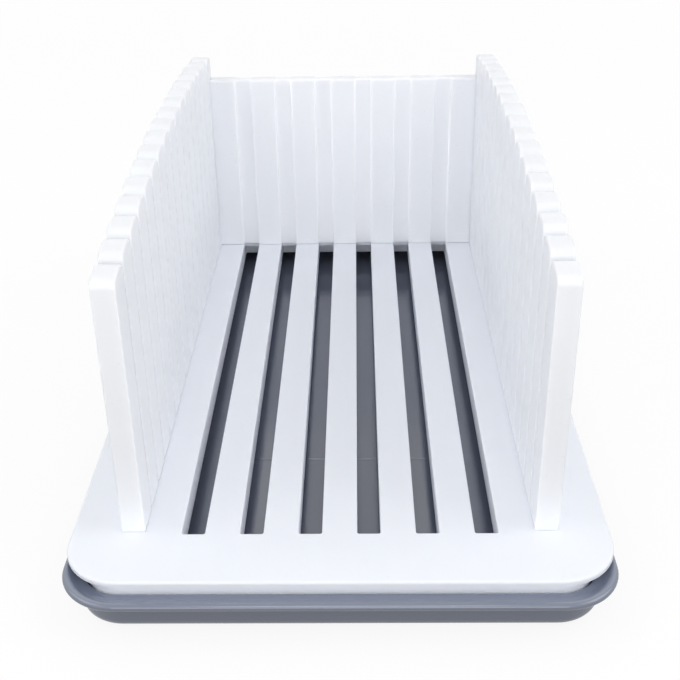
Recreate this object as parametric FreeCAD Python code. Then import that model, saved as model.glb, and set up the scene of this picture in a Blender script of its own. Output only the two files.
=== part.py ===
import FreeCAD, Part
import os

# A guide for slicing a loaf by hand. A slotted bed nests in a crumb tray. Two comb walls
# and an end panel plug into the bed, and lift out of it.
# Millimetres. X runs across the loaf, Y from the open front to the end panel, Z up.
# The origin is on the surface that the feet stand on, in the middle of the tray.

# Crumb slots and the bed beside them
SLOT_COUNT = 6
SLOT_PITCH = 20.0
SLOT_WIDTH = 8.0
SLOT_CORNER = 0.8
SLOT_LEAD = 1.2  # how far the slots start in front of the walls
SLOT_DEPTH = 9.0  # collar's lower edge, below the bed's top
SLOT_UNDERCUT = 8.0  # how far the collars run on behind the slots, under the end panel
COLLAR_WALL = 1.6
BED_EDGE = 12.45  # bed between the outermost slot and a wall

# Slotted board
BOARD_HEIGHT = 15.8
PLATE_THICKNESS = 2.0
PLATE_CORNER = 20.5
PLATE_ROUNDING = 0.8
SIDE_MARGIN = 17.15  # bed outside a wall
END_MARGIN = 25.9  # bed before and behind the walls
SKIRT_INSET = 8.5
SKIRT_WALL = 2.0
SKIRT_CORNER = 12.0
SKIRT_FOOT_ROUNDING = 1.3
RIB_COUNT = 3
RIB_THICKNESS = 1.6
RIB_DEPTH = 3.0

# Comb walls
SLAT_COUNT = 17
SLAT_PITCH = 14.8
KNIFE_GAP = 2.2
COMB_THICKNESS = 8.2
COMB_FRONT_HEIGHT = 94.8
COMB_CROWN_HEIGHT = 105.65
COMB_REAR_HEIGHT = 99.6
SLAT_OUTER_ROUNDING = 1.0
SLAT_INNER_ROUNDING = 0.7
SLAT_TOP_ROUNDING = 3.5
COMB_TONGUE_THICKNESS = 5.0
COMB_TONGUE_INSET = 3.0

# End panel
PANEL_HEIGHT = 89.2
PANEL_THICKNESS = 6.4
PANEL_REVEAL = 0.4  # line between the bed and the panel
PANEL_ROUNDING = 1.2
FLUTE_DEPTH = 1.3
PANEL_TAB_WIDTH = 5.0
PANEL_TAB_THICKNESS = 2.4

# Fits
TONGUE_DEPTH = 8.0
TONGUE_CLEARANCE = 0.3
CHANNEL_WALL = 1.6
PANEL_END_CLEARANCE = 0.35
TRAY_END_CLEARANCE = 0.4
TRAY_SIDE_CLEARANCE = 1.9

# Crumb tray
TRAY_WALL = 1.6
TRAY_FLOOR = 2.0
TRAY_CORNER = 15.8
LIP_BELOW_BED = 3.05
LIP_END_REACH = 7.8  # lip beyond the board at each end
LIP_SIDE_REACH = 0.2  # lip beyond the board at each side
LIP_CORNER = 20.0
LIP_LAND = 1.4
LIP_ROUNDING = 1.25
FLANGE_DISH = 1.25  # flange below the lip's top
DISH_RUN = 1.6  # width of the slope from the lip down to the flange
FLANGE_THICKNESS = 1.35
TRAY_BOTTOM_ROUNDING = 4.0
WELL_BOTTOM_ROUNDING = 1.5
FLOOR_PAD_WIDTH = 80.0
FLOOR_PAD_LENGTH = 119.0
FLOOR_PAD_HEIGHT = 0.5
FLOOR_PAD_CORNER = 6.0

# Feet
FOOT_DIAMETER = 14.0
FOOT_PROUD = 1.0
FOOT_SOCKET = 0.8
FOOT_CLEARANCE = 0.2
FOOT_INSET = 20.0
FOOT_ROUNDING = 0.3

# Widths across X
bay_width = (SLOT_COUNT - 1) * SLOT_PITCH + SLOT_WIDTH + 2 * BED_EDGE
comb_middle = bay_width / 2 + COMB_THICKNESS / 2
board_width = bay_width + 2 * (COMB_THICKNESS + SIDE_MARGIN)
skirt_width = board_width - 2 * SKIRT_INSET
well_width = skirt_width + 2 * TRAY_SIDE_CLEARANCE
tray_width = well_width + 2 * TRAY_WALL
lip_width = board_width + 2 * LIP_SIDE_REACH
panel_width = bay_width - 2 * PANEL_END_CLEARANCE

# Lengths along Y
slat_length = SLAT_PITCH - KNIFE_GAP
comb_length = SLAT_COUNT * SLAT_PITCH - KNIFE_GAP
comb_front = -comb_length / 2
comb_rear = comb_length / 2
board_length = comb_length + 2 * END_MARGIN
well_length = board_length + 2 * TRAY_END_CLEARANCE
tray_length = well_length + 2 * TRAY_WALL
lip_length = board_length + 2 * LIP_END_REACH
panel_front = comb_rear - PANEL_THICKNESS
slot_front = comb_front - SLOT_LEAD
slot_rear = panel_front + FLUTE_DEPTH
slot_length = slot_rear - slot_front
slot_middle = (slot_front + slot_rear) / 2
collar_length = slot_length + SLOT_UNDERCUT
collar_middle = slot_middle + SLOT_UNDERCUT / 2
tab_middle = panel_front + PANEL_THICKNESS / 2

# Heights along Z
tray_bottom = FOOT_PROUD
floor_top = tray_bottom + TRAY_FLOOR
bed_top = floor_top + BOARD_HEIGHT
plate_bottom = bed_top - PLATE_THICKNESS
lip_top = bed_top - LIP_BELOW_BED
flange_bottom = lip_top - FLANGE_DISH - FLANGE_THICKNESS
OVERRUN = 5.0  # how far a cutting tool runs past the face that it cuts


def rounded_outline(width, length, corner, z, middle=(0.0, 0.0)):
    """Closed wire: a rectangle of the given size at height z, with round corners."""
    x, y = middle
    half_x = width / 2 - corner
    half_y = length / 2 - corner
    diagonal = corner * 0.5 ** 0.5
    edges = []
    turns = [(1, -1), (1, 1), (-1, 1), (-1, -1)]
    starts = []
    for sx, sy in turns:
        centre = FreeCAD.Vector(x + sx * half_x, y + sy * half_y, z)
        along_x = centre + FreeCAD.Vector(sx * corner, 0, 0)
        along_y = centre + FreeCAD.Vector(0, sy * corner, 0)
        between = centre + FreeCAD.Vector(sx * diagonal, sy * diagonal, 0)
        if sx * sy < 0:
            starts.append((along_y, between, along_x))
        else:
            starts.append((along_x, between, along_y))
    for index, (first, between, last) in enumerate(starts):
        following = starts[(index + 1) % len(starts)][0]
        edges.append(Part.Arc(first, between, last).toShape())
        edges.append(Part.LineSegment(last, following).toShape())
    return Part.Wire(edges)


def rounded_prism(width, length, corner, low, high, middle=(0.0, 0.0)):
    """Upright prism on a rounded rectangle, from height low to height high."""
    face = Part.Face(rounded_outline(width, length, corner, low, middle))
    return face.extrude(FreeCAD.Vector(0, 0, high - low))


def block(width, length, low, high, middle=(0.0, 0.0)):
    """Upright box centred on middle, from height low to height high."""
    corner = FreeCAD.Vector(middle[0] - width / 2, middle[1] - length / 2, low)
    return Part.makeBox(width, length, high - low, corner)


def edges_near(shape, height, tolerance=0.01):
    """Edges of the shape that lie wholly at one height."""
    found = []
    for edge in shape.Edges:
        box = edge.BoundBox
        if abs(box.ZMin - height) < tolerance and abs(box.ZMax - height) < tolerance:
            found.append(edge)
    return found


def slot_positions():
    """Middle of each crumb slot, across the bed."""
    return [(index - (SLOT_COUNT - 1) / 2) * SLOT_PITCH for index in range(SLOT_COUNT)]


def channel_cut(side):
    """Channel in the board for the tongue of one comb wall."""
    return block(
        COMB_TONGUE_THICKNESS + 2 * TONGUE_CLEARANCE,
        comb_length - 2 * COMB_TONGUE_INSET + 2 * TONGUE_CLEARANCE,
        bed_top - TONGUE_DEPTH - TONGUE_CLEARANCE,
        bed_top + OVERRUN,
        (side * comb_middle, 0.0),
    )


def channel_body(side):
    """Walls and floor round one comb wall's channel, under the plate."""
    return block(
        COMB_TONGUE_THICKNESS + 2 * (TONGUE_CLEARANCE + CHANNEL_WALL),
        comb_length - 2 * COMB_TONGUE_INSET + 2 * (TONGUE_CLEARANCE + CHANNEL_WALL),
        bed_top - TONGUE_DEPTH - TONGUE_CLEARANCE - CHANNEL_WALL,
        plate_bottom,
        (side * comb_middle, 0.0),
    )


def tab_positions():
    """Middle of each of the end panel's tabs: halfway between slots, and beyond the outer ones."""
    return [(index - SLOT_COUNT / 2) * SLOT_PITCH for index in range(SLOT_COUNT + 1)]


def pocket_cut(x):
    """Pocket in the board for one tab of the end panel, which stands on its floor."""
    width = PANEL_TAB_WIDTH + 2 * TONGUE_CLEARANCE
    length = PANEL_TAB_THICKNESS + 2 * TONGUE_CLEARANCE
    return block(width, length, bed_top - TONGUE_DEPTH, bed_top + OVERRUN, (x, tab_middle))


def pocket_body(x):
    """Walls and floor round one pocket, under the plate."""
    width = PANEL_TAB_WIDTH + 2 * (TONGUE_CLEARANCE + CHANNEL_WALL)
    length = PANEL_TAB_THICKNESS + 2 * (TONGUE_CLEARANCE + CHANNEL_WALL)
    low = bed_top - TONGUE_DEPTH - CHANNEL_WALL
    return block(width, length, low, plate_bottom, (x, tab_middle))


def slot_cut(x):
    """One crumb slot: through the plate, and longer inside its collar."""
    in_plate = rounded_prism(
        SLOT_WIDTH, slot_length, SLOT_CORNER, plate_bottom - OVERRUN, bed_top + OVERRUN, (x, slot_middle)
    )
    in_collar = rounded_prism(
        SLOT_WIDTH, collar_length, SLOT_CORNER, floor_top - OVERRUN, plate_bottom, (x, collar_middle)
    )
    return in_plate.fuse(in_collar)


def slot_collar(x):
    """Wall that hangs from the plate round one crumb slot."""
    width = SLOT_WIDTH + 2 * COLLAR_WALL
    length = collar_length + 2 * COLLAR_WALL
    corner = SLOT_CORNER + COLLAR_WALL
    return rounded_prism(width, length, corner, bed_top - SLOT_DEPTH, plate_bottom, (x, collar_middle))


def board_ribs():
    """Stiffening ribs across the plate's underside, from skirt to skirt."""
    spacing = board_length / (RIB_COUNT + 1)
    ribs = []
    for index in range(RIB_COUNT):
        middle = (0.0, (index + 1) * spacing - board_length / 2)
        width = skirt_width - SKIRT_WALL
        ribs.append(block(width, RIB_THICKNESS, plate_bottom - RIB_DEPTH, plate_bottom, middle))
    return ribs


def board_skirt():
    """Ring that stands on the tray's floor and carries the plate."""
    outside = rounded_prism(skirt_width, board_length, SKIRT_CORNER, floor_top, plate_bottom)
    outside = outside.makeFillet(SKIRT_FOOT_ROUNDING, edges_near(outside, floor_top))
    inside = rounded_prism(
        skirt_width - 2 * SKIRT_WALL,
        board_length - 2 * SKIRT_WALL,
        SKIRT_CORNER - SKIRT_WALL,
        floor_top - OVERRUN,
        plate_bottom + OVERRUN,
    )
    return outside.cut(inside)


def board_plate():
    """Top plate, with its upper edge rounded."""
    plate = rounded_prism(board_width, board_length, PLATE_CORNER, plate_bottom, bed_top)
    return plate.makeFillet(PLATE_ROUNDING, edges_near(plate, bed_top))


def slotted_board():
    """Plate, skirt, collars, channels and ribs as one moulding."""
    additions = [board_skirt(), channel_body(-1), channel_body(1)]
    additions += [slot_collar(x) for x in slot_positions()]
    additions += [pocket_body(x) for x in tab_positions()]
    additions += board_ribs()
    solid = board_plate().multiFuse(additions)
    cuts = [channel_cut(-1), channel_cut(1)]
    cuts += [slot_cut(x) for x in slot_positions()]
    cuts += [pocket_cut(x) for x in tab_positions()]
    return solid.cut(cuts).removeSplitter()


def slat_outline(y, z):
    """Plan of one slat of the right wall: its corners are rounder outside than inside."""
    inner = comb_middle - COMB_THICKNESS / 2
    outer = comb_middle + COMB_THICKNESS / 2
    front = y - slat_length / 2
    rear = y + slat_length / 2
    corners = [
        (inner, front, 1, 1, SLAT_INNER_ROUNDING),
        (outer, front, -1, 1, SLAT_OUTER_ROUNDING),
        (outer, rear, -1, -1, SLAT_OUTER_ROUNDING),
        (inner, rear, 1, -1, SLAT_INNER_ROUNDING),
    ]
    arcs = []
    for x, end, sx, sy, radius in corners:
        centre = FreeCAD.Vector(x + sx * radius, end + sy * radius, z)
        on_face = centre + FreeCAD.Vector(-sx * radius, 0, 0)
        on_end = centre + FreeCAD.Vector(0, -sy * radius, 0)
        between = centre + FreeCAD.Vector(-sx, -sy, 0) * (radius * 0.5 ** 0.5)
        if sx * sy > 0:
            arcs.append((on_face, between, on_end))
        else:
            arcs.append((on_end, between, on_face))
    edges = []
    for index, (first, between, last) in enumerate(arcs):
        edges.append(Part.Arc(first, between, last).toShape())
        edges.append(Part.LineSegment(last, arcs[(index + 1) % len(arcs)][0]).toShape())
    return Part.Wire(edges)


def comb_arch():
    """Slab with the arched top that all the slats share."""
    x = comb_middle - COMB_THICKNESS / 2 - OVERRUN
    front_top = FreeCAD.Vector(x, comb_front, bed_top + COMB_FRONT_HEIGHT)
    crown = FreeCAD.Vector(x, 0, bed_top + COMB_CROWN_HEIGHT)
    rear_top = FreeCAD.Vector(x, comb_rear, bed_top + COMB_REAR_HEIGHT)
    front_foot = FreeCAD.Vector(x, comb_front, bed_top)
    rear_foot = FreeCAD.Vector(x, comb_rear, bed_top)
    outline = Part.Wire([
        Part.LineSegment(front_foot, front_top).toShape(),
        Part.Arc(front_top, crown, rear_top).toShape(),
        Part.LineSegment(rear_top, rear_foot).toShape(),
        Part.LineSegment(rear_foot, front_foot).toShape(),
    ])
    return Part.Face(outline).extrude(FreeCAD.Vector(COMB_THICKNESS + 2 * OVERRUN, 0, 0))


def comb_slat(index, arch):
    """One slat, cut to the arch, with its top rounded down at the front and the rear."""
    y = comb_front + slat_length / 2 + index * SLAT_PITCH
    high = bed_top + COMB_CROWN_HEIGHT + OVERRUN
    slice_width = COMB_THICKNESS + OVERRUN
    slab = arch.common(block(slice_width, slat_length, bed_top, high, (comb_middle, y)))
    half_height = bed_top + COMB_FRONT_HEIGHT / 2
    top_edges = []
    for edge in slab.Edges:
        if edge.BoundBox.ZMin > half_height and edge.BoundBox.YLength < slat_length / 2:
            top_edges.append(edge)
    slab = slab.makeFillet(SLAT_TOP_ROUNDING, top_edges)
    prism = Part.Face(slat_outline(y, bed_top)).extrude(FreeCAD.Vector(0, 0, high - bed_top))
    return slab.common(prism)


def comb_tongue():
    """Rail that joins the slats and plugs into the board's channel."""
    length = comb_length - 2 * COMB_TONGUE_INSET
    return block(COMB_TONGUE_THICKNESS, length, bed_top - TONGUE_DEPTH, bed_top, (comb_middle, 0.0))


def comb_wall():
    """The right wall: slats on their tongue."""
    arch = comb_arch()
    slats = [comb_slat(index, arch) for index in range(SLAT_COUNT)]
    return comb_tongue().multiFuse(slats).removeSplitter()


def mirrored(shape):
    """The same piece for the other side of the loaf."""
    return shape.mirror(FreeCAD.Vector(0, 0, 0), FreeCAD.Vector(1, 0, 0))


def end_panel():
    """Stop behind the loaf: a fluted plate on a row of tabs."""
    low = bed_top + PANEL_REVEAL
    high = bed_top + PANEL_HEIGHT
    plate = block(panel_width, PANEL_THICKNESS, low, high, (0.0, tab_middle))
    plate = plate.makeFillet(PANEL_ROUNDING, [
        edge for edge in edges_near(plate, high)
        if edge.BoundBox.XLength > PANEL_THICKNESS
    ])
    flutes = []
    for x in slot_positions():
        for face_y in (panel_front, comb_rear):
            flutes.append(block(SLOT_WIDTH, 2 * FLUTE_DEPTH, low - OVERRUN, high + OVERRUN, (x, face_y)))
    plate = plate.cut(Part.Compound(flutes))
    tabs = []
    for x in tab_positions():
        tabs.append(block(PANEL_TAB_WIDTH, PANEL_TAB_THICKNESS, bed_top - TONGUE_DEPTH, low, (x, tab_middle)))
    return plate.multiFuse(tabs).removeSplitter()


def foot_positions():
    """Middle of each foot, by name."""
    x = tray_width / 2 - FOOT_INSET
    y = tray_length / 2 - FOOT_INSET
    return {
        "front_left_foot": (-x, -y),
        "front_right_foot": (x, -y),
        "rear_left_foot": (-x, y),
        "rear_right_foot": (x, y),
    }


def foot_pad(middle):
    """Rubber pad that stands in its socket and carries the tray."""
    base = FreeCAD.Vector(middle[0], middle[1], 0)
    pad = Part.makeCylinder(FOOT_DIAMETER / 2, FOOT_PROUD + FOOT_SOCKET, base)
    return pad.makeFillet(FOOT_ROUNDING, edges_near(pad, 0.0))


def foot_socket(middle):
    """Recess under the tray for one foot."""
    base = FreeCAD.Vector(middle[0], middle[1], tray_bottom - OVERRUN)
    return Part.makeCylinder(FOOT_DIAMETER / 2 + FOOT_CLEARANCE, FOOT_SOCKET + OVERRUN, base)


def flange_dish():
    """Tool that lowers the flange inside its lip, with a slope down from the lip."""
    inset = LIP_LAND + DISH_RUN
    upper = rounded_outline(
        lip_width - 2 * LIP_LAND, lip_length - 2 * LIP_LAND, LIP_CORNER - LIP_LAND, lip_top
    )
    lower = rounded_outline(
        lip_width - 2 * inset, lip_length - 2 * inset, LIP_CORNER - inset, lip_top - FLANGE_DISH
    )
    return Part.makeLoft([upper, lower], True, True)


def crumb_tray():
    """Shallow tray with a dished flange, a raised floor pad and sockets for its feet."""
    body = rounded_prism(tray_width, tray_length, TRAY_CORNER, tray_bottom, flange_bottom)
    body = body.makeFillet(TRAY_BOTTOM_ROUNDING, edges_near(body, tray_bottom))
    flange = rounded_prism(lip_width, lip_length, LIP_CORNER, flange_bottom, lip_top)
    lip_edges = edges_near(flange, flange_bottom) + edges_near(flange, lip_top)
    flange = flange.makeFillet(LIP_ROUNDING, lip_edges)
    well = rounded_prism(well_width, well_length, TRAY_CORNER - TRAY_WALL, floor_top, lip_top + OVERRUN)
    well = well.makeFillet(WELL_BOTTOM_ROUNDING, edges_near(well, floor_top))
    sockets = [foot_socket(middle) for middle in foot_positions().values()]
    pad_recess = rounded_prism(
        FLOOR_PAD_WIDTH,
        FLOOR_PAD_LENGTH,
        FLOOR_PAD_CORNER,
        tray_bottom - OVERRUN,
        tray_bottom + FLOOR_PAD_HEIGHT,
    )
    floor_pad = rounded_prism(
        FLOOR_PAD_WIDTH,
        FLOOR_PAD_LENGTH,
        FLOOR_PAD_CORNER,
        tray_bottom + FLOOR_PAD_HEIGHT,
        floor_top + FLOOR_PAD_HEIGHT,
    )
    solid = body.fuse(flange).cut(Part.Compound([well, flange_dish(), pad_recess] + sockets))
    return solid.fuse(floor_pad).removeSplitter()


def build():
    """Every node of the model, by name."""
    right_comb = comb_wall()
    nodes = {
        "crumb_tray": crumb_tray(),
        "slotted_board": slotted_board(),
        "left_comb": mirrored(right_comb),
        "right_comb": right_comb,
        "back_panel": end_panel(),
    }
    for name, middle in foot_positions().items():
        nodes[name] = foot_pad(middle)
    return nodes


os.makedirs("parts", exist_ok=True)
for node_name, node_shape in build().items():
    node_shape.exportStep(os.path.join("parts", node_name + ".step"))
    bounds = node_shape.BoundBox
    print(node_name, len(node_shape.Solids), node_shape.isValid(), round(node_shape.Volume / 1000, 2), bounds)
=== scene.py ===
import logging
import math
from dataclasses import dataclass, field
from enum import Enum
from functools import lru_cache
from typing import Any, Sequence

import bpy
import numpy as np
from mathutils import Matrix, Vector
from mathutils.geometry import tessellate_polygon


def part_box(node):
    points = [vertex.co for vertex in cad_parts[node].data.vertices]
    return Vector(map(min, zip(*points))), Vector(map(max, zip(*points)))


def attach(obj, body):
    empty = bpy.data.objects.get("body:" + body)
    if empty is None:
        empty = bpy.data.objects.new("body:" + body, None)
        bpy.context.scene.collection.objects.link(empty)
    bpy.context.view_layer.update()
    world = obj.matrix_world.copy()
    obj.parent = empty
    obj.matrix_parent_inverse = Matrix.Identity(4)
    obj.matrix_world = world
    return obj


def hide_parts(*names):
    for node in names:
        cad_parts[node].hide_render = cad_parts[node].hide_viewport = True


# Looks of a guide for slicing a loaf by hand: a slotted board over a crumb tray, two comb walls
# and a fluted end panel. Sizes are in millimetres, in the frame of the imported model: X across
# the loaf, Y from the open front to the end panel, Z up, with the feet standing at height 0.

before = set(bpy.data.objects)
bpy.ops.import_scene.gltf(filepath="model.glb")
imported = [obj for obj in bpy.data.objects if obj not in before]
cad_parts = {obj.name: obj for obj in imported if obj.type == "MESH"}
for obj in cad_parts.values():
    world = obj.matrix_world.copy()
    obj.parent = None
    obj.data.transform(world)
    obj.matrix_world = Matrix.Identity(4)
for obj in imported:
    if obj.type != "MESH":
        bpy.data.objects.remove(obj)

MM = 0.001  # metres in a millimetre
WELD = 1e-4  # grid, in millimetres, that points are rounded to before the equal ones are joined
QUARTER = math.pi / 2
HALF_TURN = math.pi
BLOCK_STEPS = 4  # chords in each upright corner of a plain block
NOISE_MIDDLE = 0.5  # value that a noise varies about
PLAIN_WHITE = (1.0, 1.0, 1.0, 1.0)

log = logging.getLogger("slicing_guide")


class Body(Enum):
    """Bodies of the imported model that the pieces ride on."""

    TRAY = "tray"
    BOARD = "board"
    LEFT_WALL = "left_wall"
    RIGHT_WALL = "right_wall"
    END_STOP = "end_stop"


class Slot(Enum):
    """Material slots of the record."""

    TRAY = "tray_plastic"
    BOARD = "board_plastic"
    WALL = "wall_plastic"
    FOOT = "foot_rubber"


class Side(Enum):
    """Which side of the loaf a wall stands on, as the sign of X."""

    LEFT = -1
    RIGHT = 1


# ---------------------------------------------------------------- outlines and sections


@dataclass(frozen=True)
class NodeBox:
    """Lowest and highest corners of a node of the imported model, in millimetres."""

    low: tuple[float, float, float]
    high: tuple[float, float, float]

    @classmethod
    @lru_cache(maxsize=None)
    def of(cls, node: str) -> "NodeBox":
        """Box of the named node.

        Args:
            node: Name of the node.

        Returns:
            Its box at rest.
        """
        low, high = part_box(node)
        return cls(tuple(value / MM for value in low), tuple(value / MM for value in high))

    def size(self, axis: int) -> float:
        """Length of the box along one axis."""
        return self.high[axis] - self.low[axis]

    def middle(self, axis: int) -> float:
        """Middle of the box along one axis."""
        return (self.low[axis] + self.high[axis]) / 2


def add_object(name: str, data: bpy.types.ID) -> bpy.types.Object:
    """New object that is linked to the scene.

    Args:
        name: Name of the object.
        data: Its mesh, lamp or camera.

    Returns:
        The object.
    """
    made = bpy.data.objects.new(name, data)
    bpy.context.scene.collection.objects.link(made)
    return made


def half_wave(share: np.ndarray | float) -> np.ndarray | float:
    """Half a wave of a cosine: 0 at a share of 0, 1 at a share of 1, and level at both."""
    return (1 - np.cos(HALF_TURN * share)) / 2


@dataclass(frozen=True)
class Outline:
    """A closed curve in plan, with the normals that point away from its inside."""

    points: np.ndarray
    normals: np.ndarray

    @classmethod
    def rounded(
        cls,
        size: tuple[float, float],
        corner: float,
        middle: tuple[float, float] = (0.0, 0.0),
        steps: int = 10,
    ) -> "Outline":
        """Rectangle with round corners: each corner is a quarter circle about its own centre.

        Args:
            size: Width across X and length along Y.
            corner: Radius of the corners.
            middle: Centre of the rectangle.
            steps: Chords in each corner.

        Returns:
            The outline, anticlockwise from above.
        """
        turn = np.linspace(0.0, QUARTER, steps + 1)
        angle = (turn[None, :] + QUARTER * np.arange(4)[:, None]).ravel()
        normals = np.stack([np.cos(angle), np.sin(angle)], axis=1)
        side_x = np.repeat([1.0, -1.0, -1.0, 1.0], steps + 1)
        side_y = np.repeat([1.0, 1.0, -1.0, -1.0], steps + 1)
        centre_x = middle[0] + side_x * (size[0] / 2 - corner)
        centre_y = middle[1] + side_y * (size[1] / 2 - corner)
        points = np.stack([centre_x, centre_y], axis=1) + corner * normals
        return cls(points, normals)

    @classmethod
    def circle(cls, radius: float, middle: tuple[float, float], steps: int = 48) -> "Outline":
        """Circle in plan.

        Args:
            radius: Radius of the circle.
            middle: Its centre.
            steps: Chords round it.

        Returns:
            The outline, anticlockwise from above.
        """
        angle = np.linspace(0.0, 2 * HALF_TURN, steps, endpoint=False)
        normals = np.stack([np.cos(angle), np.sin(angle)], axis=1)
        return cls(np.asarray(middle) + radius * normals, normals)

    def moved(self, offset: float) -> np.ndarray:
        """Points of the outline moved outwards by the offset."""
        return self.points + offset * self.normals

    def at(self, offset: float, height: float) -> np.ndarray:
        """Points of the outline moved outwards by the offset, at one height."""
        plan = self.moved(offset)
        return np.column_stack([plan, np.full(len(plan), height)])


@dataclass(frozen=True)
class Run:
    """A smooth stretch of a section: its offsets, heights and the two parts of its normal."""

    offset: np.ndarray
    height: np.ndarray
    out: np.ndarray
    up: np.ndarray

    @classmethod
    def line(cls, start: tuple[float, float], end: tuple[float, float], side: int = 1) -> "Run":
        """Straight stretch, with its normal a quarter turn to the right of its direction.

        Args:
            start: Offset and height where it starts.
            end: Offset and height where it ends.
            side: 1 for the normal to the right of the direction, -1 for the left.

        Returns:
            The run.
        """
        along = np.array(end, float) - np.array(start, float)
        along /= np.hypot(*along)
        out = np.full(2, side * along[1])
        up = np.full(2, -side * along[0])
        return cls(np.array([start[0], end[0]]), np.array([start[1], end[1]]), out, up)

    @classmethod
    def arc(
        cls,
        centre: tuple[float, float],
        radius: float,
        start: float,
        end: float,
        side: int = 1,
        steps: int = 6,
    ) -> "Run":
        """Stretch of a circle: centre plus radius times the cosine and sine of the angle.

        Args:
            centre: Offset and height of the centre.
            radius: Radius of the circle.
            start: Angle where it starts, in degrees, with 0 outwards and 90 up.
            end: Angle where it ends, in degrees.
            side: 1 where the material is inside the circle, -1 in a hollow corner.
            steps: Chords in the stretch.

        Returns:
            The run.
        """
        angle = np.radians(np.linspace(start, end, steps + 1))
        cosine, sine = np.cos(angle), np.sin(angle)
        offset = centre[0] + radius * cosine
        height = centre[1] + radius * sine
        return cls(offset, height, side * cosine, side * sine)


class Skin:
    """Gathers grids and flat fills, then welds them into one closed mesh."""

    def __init__(self) -> None:
        """Start with nothing."""
        self._points: list[np.ndarray] = []
        self._normals: list[np.ndarray] = []
        self._faces: list[np.ndarray] = []
        self._total = 0

    def _keep(self, points: np.ndarray, normals: np.ndarray, faces: np.ndarray) -> None:
        """Store faces, turned so that each one looks along the normals of its corners.

        Args:
            points: Points, one in each row.
            normals: The normal at each point.
            faces: Numbers of the points at the corners of each face.
        """
        corners = points[faces]
        across = np.cross(corners[:, 2] - corners[:, 0], corners[:, -1] - corners[:, 1])
        if faces.shape[1] == 3:
            across = np.cross(corners[:, 1] - corners[:, 0], corners[:, 2] - corners[:, 0])
        wrong = np.einsum("ij,ij->i", across, normals[faces].sum(axis=1)) < 0
        faces = np.where(wrong[:, None], faces[:, ::-1], faces)
        self._points.append(points)
        self._normals.append(normals)
        self._faces.append(faces + self._total)
        self._total += len(points)

    def grid(self, points: np.ndarray, normals: np.ndarray, closed: bool = False) -> None:
        """Surface on a grid of points.

        Args:
            points: Array of rows, columns and three coordinates.
            normals: Array of the same shape.
            closed: Whether the last row joins the first.
        """
        rows, columns = points.shape[:2]
        first = np.arange(rows if closed else rows - 1)
        column = np.arange(columns - 1)
        low = first[:, None] * columns + column
        high = ((first + 1) % rows)[:, None] * columns + column
        faces = np.stack([low, high, high + 1, low + 1], axis=-1).reshape(-1, 4)
        self._keep(points.reshape(-1, 3), normals.reshape(-1, 3), faces)

    def band(self, first: np.ndarray, second: np.ndarray, normal: Sequence[float]) -> None:
        """Flat band between two rows of points.

        Args:
            first: Points of one row.
            second: As many points of the other row.
            normal: The direction that the band looks in.
        """
        points = np.stack([first, second], axis=1)
        self.grid(points, np.broadcast_to(np.asarray(normal, float), points.shape))

    def sweep(self, outline: Outline, runs: Sequence[Run]) -> None:
        """Carry a section round an outline.

        A point is the outline's point, moved along its normal by the section's offset and
        raised to the section's height.

        Args:
            outline: The path, closed.
            runs: The smooth stretches of the section.
        """
        for run in runs:
            plan = outline.points[:, None, :] + run.offset[None, :, None] * outline.normals[:, None, :]
            height = np.broadcast_to(run.height, plan.shape[:2])
            lean = outline.normals[:, None, :] * run.out[None, :, None]
            rise = np.broadcast_to(run.up, plan.shape[:2])
            self.grid(np.dstack([plan, height]), np.dstack([lean, rise]), closed=True)

    def loft(self, rings: Sequence[np.ndarray], outward: Sequence[float]) -> None:
        """Surface through closed rings with the same number of points each.

        Args:
            rings: Arrays of points, in order along the surface.
            outward: A direction that the surface looks in, on the whole.
        """
        points = np.stack(rings, axis=1)
        along = np.roll(points, -1, axis=0) - np.roll(points, 1, axis=0)
        across = np.gradient(points, axis=1)
        normals = np.cross(along, across)
        length = np.linalg.norm(normals, axis=2, keepdims=True)
        normals = normals / np.where(length > 0, length, 1)
        if np.einsum("ijk,k->", normals, np.asarray(outward, float)) < 0:
            normals = -normals
        self.grid(points, normals, closed=True)

    def fill(self, loops: Sequence[np.ndarray], height: float, up: int) -> None:
        """Flat region at one height, inside the first loop and outside the others.

        Args:
            loops: Closed curves in plan, the outer one first.
            height: Height of the region.
            up: 1 where it looks up, -1 where it looks down.
        """
        rings = [np.column_stack([loop, np.full(len(loop), height)]) for loop in loops]
        faces = np.array(tessellate_polygon([ring.tolist() for ring in rings]))
        points = np.concatenate(rings)
        normals = np.tile([0.0, 0.0, float(up)], (len(points), 1))
        self._keep(points, normals, faces)

    def mirror(self) -> None:
        """Mirror what is gathered so far in the plane x = 0."""
        flip = np.array([-1.0, 1.0, 1.0])
        self._points = [points * flip for points in self._points]
        self._normals = [normals * flip for normals in self._normals]
        self._faces = [faces[:, ::-1] for faces in self._faces]

    def mesh(self, name: str) -> bpy.types.Object:
        """Weld the points that coincide and make the object.

        Args:
            name: Name of the object.

        Returns:
            The new object, linked to the scene.
        """
        points = np.concatenate(self._points)
        normals = np.concatenate(self._normals)
        keys = np.round(points / WELD).astype(np.int64)
        _, first, where = np.unique(keys, axis=0, return_index=True, return_inverse=True)
        where = where.ravel()
        faces: list[list[int]] = []
        corner_normals: list[np.ndarray] = []
        for block in self._faces:
            for face, sources in self._whole_faces(where[block], block):
                faces += face.tolist()
                corner_normals.append(normals[sources].reshape(-1, 3))
        mesh = bpy.data.meshes.new(name)
        mesh.from_pydata((points[first] * MM).tolist(), [], faces)
        mesh.shade_smooth()
        mesh.normals_split_custom_set(np.concatenate(corner_normals).tolist())
        mesh.update()
        return add_object(name, mesh)

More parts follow.
